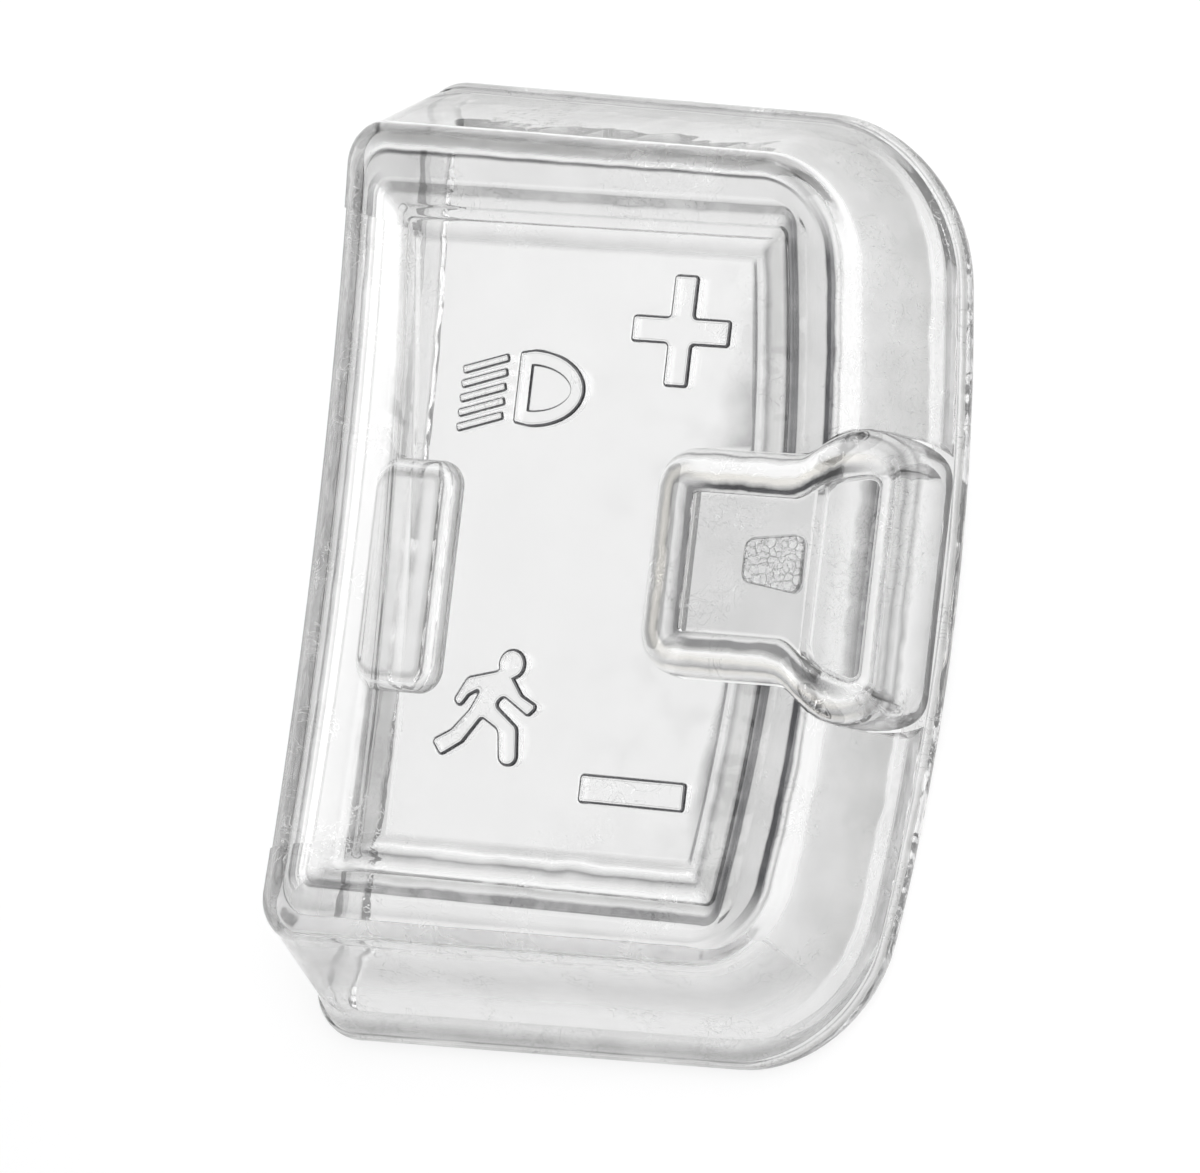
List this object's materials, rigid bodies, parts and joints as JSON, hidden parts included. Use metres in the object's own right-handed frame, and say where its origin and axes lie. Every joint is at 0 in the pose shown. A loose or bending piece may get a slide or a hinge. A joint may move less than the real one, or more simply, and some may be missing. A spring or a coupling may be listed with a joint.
{
  "type": "remote control cover",
  "caption": "Clear moulded cover for a handlebar remote control: raised border, sunk panel with pressable signs and a rimmed thumb key, open at the back.",
  "frame": {"origin": "middle of the bounding box, in the plane of the open rim", "axes": "+X across the face towards the thumb key, +Y along the face towards the lamp and plus signs, +Z out of the face"},
  "size_m": [0.0518, 0.075, 0.0157],
  "materials": {
    "clear_shell": "clear gloss elastomer",
    "clear_key": "clear gloss elastomer",
    "frosted_patch": "frosted, finely crazed"
  },
  "bodies": {
    "cover": {"rim_band": "clear_shell", "frame_shell": "clear_shell", "key_panel": "clear_shell", "side_pocket": "clear_shell"},
    "thumb": {"thumb_key": "clear_key", "thumb_key_patch": "frosted_patch"},
    "plus": {"plus_key": "clear_key"},
    "minus": {"minus_key": "clear_key"},
    "walk": {"walk_key": "clear_key"},
    "lamp": {"lamp_key": "clear_key", "lamp_beam_1": "clear_key", "lamp_beam_2": "clear_key", "lamp_beam_3": "clear_key", "lamp_beam_4": "clear_key", "lamp_beam_5": "clear_key"}
  },
  "joints": [
    {"name": "thumb_press", "type": "slide", "parent": "cover", "child": "thumb", "axis": [0, 0, -1], "range_m": [0, 0.0008], "stiffness_N_per_m": 2000},
    {"name": "plus_press", "type": "slide", "parent": "cover", "child": "plus", "axis": [0, 0, -1], "range_m": [0, 0.0006], "stiffness_N_per_m": 1500},
    {"name": "minus_press", "type": "slide", "parent": "cover", "child": "minus", "axis": [0, 0, -1], "range_m": [0, 0.0006], "stiffness_N_per_m": 1500},
    {"name": "walk_press", "type": "slide", "parent": "cover", "child": "walk", "axis": [0, 0, -1], "range_m": [0, 0.0006], "stiffness_N_per_m": 1500},
    {"name": "lamp_press", "type": "slide", "parent": "cover", "child": "lamp", "axis": [0, 0, -1], "range_m": [0, 0.0006], "stiffness_N_per_m": 1500}
  ]
}
